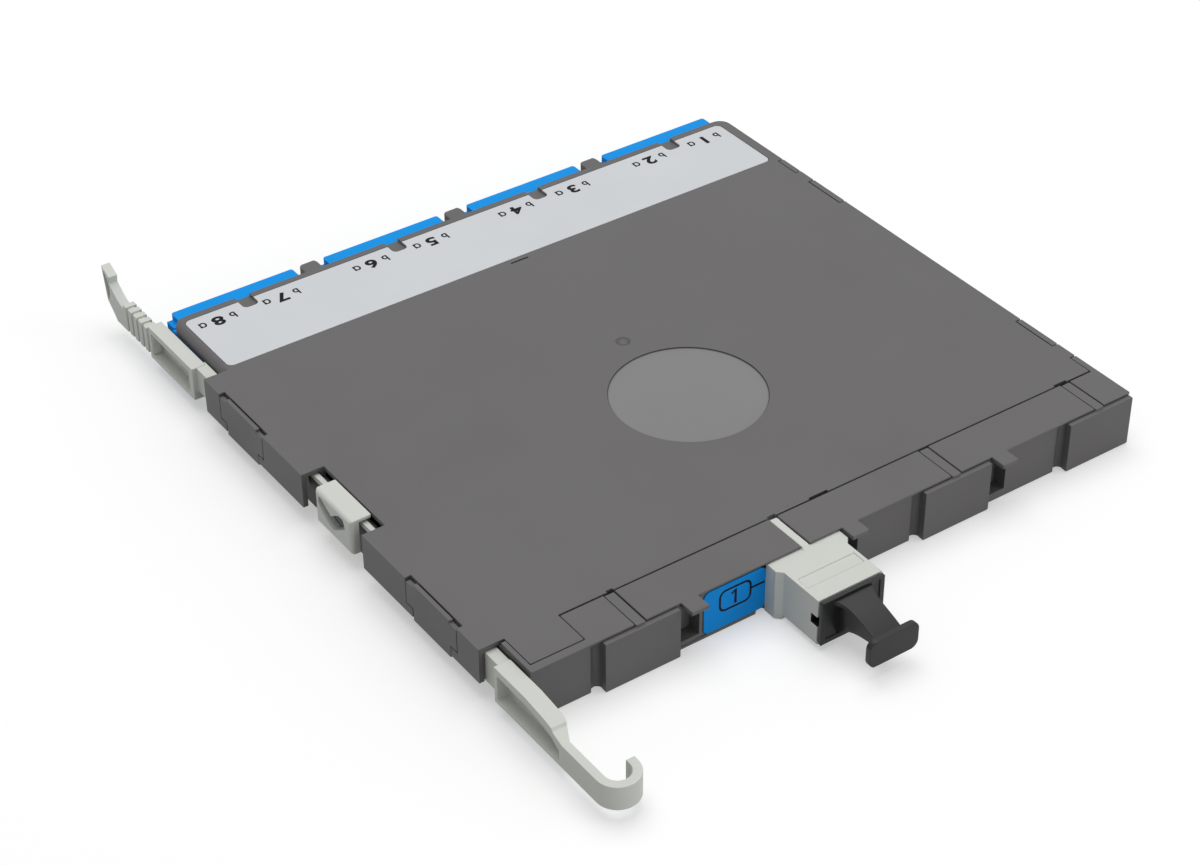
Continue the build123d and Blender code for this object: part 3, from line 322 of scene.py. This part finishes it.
def smooth_by_angle():
    """Geometry nodes that shade faces smooth and keep edges sharp above SMOOTH_ANGLE."""
    group = bpy.data.node_groups.new("smooth_by_angle", "GeometryNodeTree")
    for in_out in ("INPUT", "OUTPUT"):
        group.interface.new_socket("Geometry", in_out=in_out, socket_type="NodeSocketGeometry")
    enter = add_node(group, "NodeGroupInput")
    faces = add_node(group, "GeometryNodeSetShadeSmooth", {"Geometry": enter.outputs[0]},
                     domain="FACE")
    angle = add_node(group, "GeometryNodeInputMeshEdgeAngle").outputs["Unsigned Angle"]
    sharp = add_node(group, "FunctionNodeCompare", {0: angle}, {1: math.radians(SMOOTH_ANGLE)},
                     data_type="FLOAT", operation="GREATER_THAN")
    edges = add_node(group, "GeometryNodeSetShadeSmooth",
                     {"Geometry": faces.outputs["Geometry"], "Selection": sharp.outputs[0]},
                     {"Shade Smooth": False}, domain="EDGE")
    add_node(group, "NodeGroupOutput", {0: edges.outputs["Geometry"]})
    return group


def soften(node, width, segments, smooth):
    """Round a piece's sharp edges by width millimetres, and keep the shading of flat faces even."""
    weld = node.modifiers.new("weld", "WELD")
    weld.merge_threshold = WELD_DISTANCE
    if width:
        bevel = node.modifiers.new("edges", "BEVEL")
        bevel.width = width * MM
        bevel.segments = segments
        bevel.limit_method = "ANGLE"
        bevel.angle_limit = math.radians(BEVEL_ANGLE)
        bevel.use_clamp_overlap = False
        bevel.miter_outer = "MITER_ARC"
    shading = node.modifiers.new("shading", "NODES")
    shading.node_group = smooth
    normals = node.modifiers.new("flat_normals", "WEIGHTED_NORMAL")
    normals.mode = "FACE_AREA"
    normals.weight = 100
    normals.keep_sharp = True


smooth = smooth_by_angle()
slots = {entry["node"]: entry["material_slot"] for entry in frame["record"]["subparts"]}
for name, node in nodes.items():
    node.data.materials.clear()
    node.data.materials.append(OWN_MATERIALS.get(name, MATERIALS[slots[name]]))
    rounding = next((r for start, r in ROUNDING.items() if name.startswith(start)), (0.0, 0))
    soften(node, *rounding, smooth)


# Print on the labels
PRINT_LIFT = 0.012          # above the film
PRINT_DEPTH = 0.02
FONT_CURVE_STEPS = 6
CORNER_STEPS = 8
REAR_FACING = Matrix(((-1, 0, 0, 0), (0, 0, 1, 0), (0, 1, 0, 0), (0, 0, 0, 1)))


def place_print(made, turn, place, body):
    """Put a piece of print where it belongs, in ink, fixed to its body."""
    made.matrix_world = Matrix.Translation(Vector(place) * MM) @ turn
    scene.collection.objects.link(made)
    made.data.materials.append(ink)
    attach(made, body)


def lettering(name, text, size, place, weight, stretch=1.0):
    """A flat printed character on the long label, widened by stretch."""
    curve = bpy.data.curves.new(name, "FONT")
    curve.body = text
    curve.size = size * MM
    curve.offset = weight * MM
    curve.align_x = "CENTER"
    curve.align_y = "CENTER"
    curve.extrude = PRINT_DEPTH * MM / 2
    curve.resolution_u = FONT_CURVE_STEPS
    stretching = Matrix.Diagonal((stretch, 1.0, 1.0, 1.0))
    place_print(bpy.data.objects.new(name, curve), stretching, place, "module")


def outline(name, points, width, place, cyclic=True):
    """A printed line of even width on the rear label, as a thin strip along flat points."""
    mesh = bpy.data.meshes.new(name)
    build = bmesh.new()
    count = len(points)
    left_side, right_side = [], []
    for i, (x, y) in enumerate(points):
        before = points[(i - 1) % count] if cyclic or i else points[i]
        after = points[(i + 1) % count] if cyclic or i < count - 1 else points[i]
        along = Vector((after[0] - before[0], after[1] - before[1])).normalized()
        across = Vector((-along.y, along.x)) * width / 2
        left_side.append(build.verts.new(Vector((x + across.x, y + across.y, 0.0)) * MM))
        right_side.append(build.verts.new(Vector((x - across.x, y - across.y, 0.0)) * MM))
    for i in range(count if cyclic else count - 1):
        j = (i + 1) % count
        build.faces.new((left_side[i], right_side[i], right_side[j], left_side[j]))
    bmesh.ops.recalc_face_normals(build, faces=build.faces)
    build.normal_update()
    if sum(face.normal.z for face in build.faces) < 0:
        bmesh.ops.reverse_faces(build, faces=build.faces)
    bmesh.ops.solidify(build, geom=build.faces[:], thickness=PRINT_DEPTH * MM)
    build.to_mesh(mesh)
    build.free()
    place_print(bpy.data.objects.new(name, mesh), REAR_FACING, place, "module")


def rounded(half_width, half_height, radius):
    """Points round a rectangle with rounded corners."""
    points = []
    for x_sign, y_sign, start in ((1, 1, 0), (-1, 1, 90), (-1, -1, 180), (1, -1, 270)):
        for k in range(CORNER_STEPS + 1):
            angle = math.radians(start + 90 * k / CORNER_STEPS)
            points.append((x_sign * (half_width - radius) + radius * math.cos(angle),
                           y_sign * (half_height - radius) + radius * math.sin(angle)))
    return points


# Port numbers 8 to 1 along the long label, each between the letters of its two openings
DIGIT_XS = (53.9, 40.6, 21.3, 8.0, -11.4, -24.7, -43.3, -56.9)
DIGIT_Y = -54.9
DIGIT_SIZE = 3.7
DIGIT_WEIGHT = 0.13
DIGIT_STRETCH = 1.25
LETTER_STEP = 3.1
LETTER_Y = -55.0
LETTER_SIZE = 2.7
LETTER_WEIGHT = 0.05
ROUND_A = "ɑ"          # the a without a hook

film_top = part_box("port_label")[1].z / MM + PRINT_LIFT
for i, x in enumerate(DIGIT_XS):
    digit = str(len(DIGIT_XS) - i)
    lettering(f"print_{digit}", digit, DIGIT_SIZE, (x, DIGIT_Y, film_top), DIGIT_WEIGHT,
              DIGIT_STRETCH)
    for letter, text, step in (("a", ROUND_A, LETTER_STEP), ("b", "b", -LETTER_STEP)):
        lettering(f"print_{digit}{letter}", text, LETTER_SIZE, (x + step, LETTER_Y, film_top),
                  LETTER_WEIGHT)

# The rear port's number in its rounded frame, and the line that leads to the port
NUMBER_X, NUMBER_Z = 21.5, 6.22
NUMBER_STROKES = ((-0.75, 0.8), (0.05, 1.45), (0.05, -1.45))
NUMBER_WIDTH = 0.5
FRAME_HALVES = (3.1, 2.03)
FRAME_RADIUS = 1.2
LEAD_X, LEAD_Z = 18.2, 6.35
LEAD_POINTS = ((0, 0), (1, 0), (2.7, 0))
LINE_WIDTH = 0.42

tag_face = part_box("rear_label")[1].y / MM + PRINT_LIFT
number_place = (NUMBER_X, tag_face, NUMBER_Z)
lead_place = (LEAD_X, tag_face, LEAD_Z)
outline("print_port_number", NUMBER_STROKES, NUMBER_WIDTH, number_place, cyclic=False)
outline("print_port_frame", rounded(*FRAME_HALVES, FRAME_RADIUS), LINE_WIDTH, number_place)
outline("print_port_line", LEAD_POINTS, LINE_WIDTH, lead_place, cyclic=False)


# Floor and light. The rays that show the background find a whiter floor, with the shadow still
# on it, which fades to white beyond the light's reach
FLOOR_HALF = 4.0
FLOOR_DROP = 0.00005        # below the underside
FLOOR_GREY = (0.8, 0.8, 0.8)
LIT_GREY = (0.45, 0.45, 0.45)
SEEN_GREY = (0.62, 0.62, 0.62)
FLOOR_FADE = (0.3, 1.5)
FLOOR_GLOW = (0.4, 1.0)
WORLD_LIGHT = 0.4
WORLD_SEEN = 1.0


def seen_rays(tree):
    """1 for the rays that show the background: from the camera, off gloss or through glass."""
    path = tree.nodes.new("ShaderNodeLightPath").outputs
    sharp = combine(tree, "MAXIMUM", path["Is Camera Ray"], path["Is Glossy Ray"])
    return combine(tree, "MAXIMUM", sharp, path["Is Transmission Ray"])


floor_mesh = bpy.data.meshes.new("floor")
build = bmesh.new()
bmesh.ops.create_grid(build, x_segments=1, y_segments=1, size=FLOOR_HALF)
build.to_mesh(floor_mesh)
build.free()
floor = bpy.data.objects.new("floor", floor_mesh)
floor.location.z = -FLOOR_DROP
scene.collection.objects.link(floor)
floor_material, tree, shader = new_material("floor", FLOOR_GREY, 0.9, specular=0.1)
rays = seen_rays(tree)
reach = add_node(tree, "ShaderNodeVectorMath", {0: object_place(tree)}, operation="LENGTH")
fade = span(tree, reach.outputs["Value"], *FLOOR_FADE, *FLOOR_GLOW)
shader.inputs["Emission Color"].default_value = (*WHITE, 1.0)
tree.links.new(combine(tree, "MULTIPLY", rays, fade), shader.inputs["Emission Strength"])
tree.links.new(mix_colour(tree, rays, LIT_GREY, SEEN_GREY), shader.inputs["Base Color"])
floor_mesh.materials.append(floor_material)

world = bpy.data.worlds.new("world")
scene.world = world
world.use_nodes = True
tree = world.node_tree
lighting = tree.nodes["Background"]
seen = add_node(tree, "ShaderNodeBackground")
for background, strength in ((lighting, WORLD_LIGHT), (seen, WORLD_SEEN)):
    background.inputs["Color"].default_value = (*WHITE, 1.0)
    background.inputs["Strength"].default_value = strength
blend = add_node(tree, "ShaderNodeMixShader",
                 {0: seen_rays(tree), 1: lighting.outputs[0], 2: seen.outputs[0]})
tree.links.new(blend.outputs[0], tree.nodes["World Output"].inputs["Surface"])

# Name, place, size and watts of each lamp; all of them aim at the part
LAMPS = (
    ("overhead", (-0.1, -0.2, 1.3), (1.2, 1.2), 11.3),
    ("side_fill", (-0.9, 0.8, 0.7), (0.8, 0.8), 2.5),
    ("rear_fill", (-0.15, 1.2, 0.12), (0.8, 0.2), 2.2),
)
LAMP_TARGET = Vector((0, 0, 0.005))

for name, place, size, power in LAMPS:
    data = bpy.data.lights.new(name, "AREA")
    data.shape = "RECTANGLE"
    data.size, data.size_y = size
    data.energy = power
    lamp = bpy.data.objects.new(name, data)
    lamp.location = place
    lamp.rotation_euler = (LAMP_TARGET - Vector(place)).to_track_quat("-Z", "Y").to_euler()
    scene.collection.objects.link(lamp)
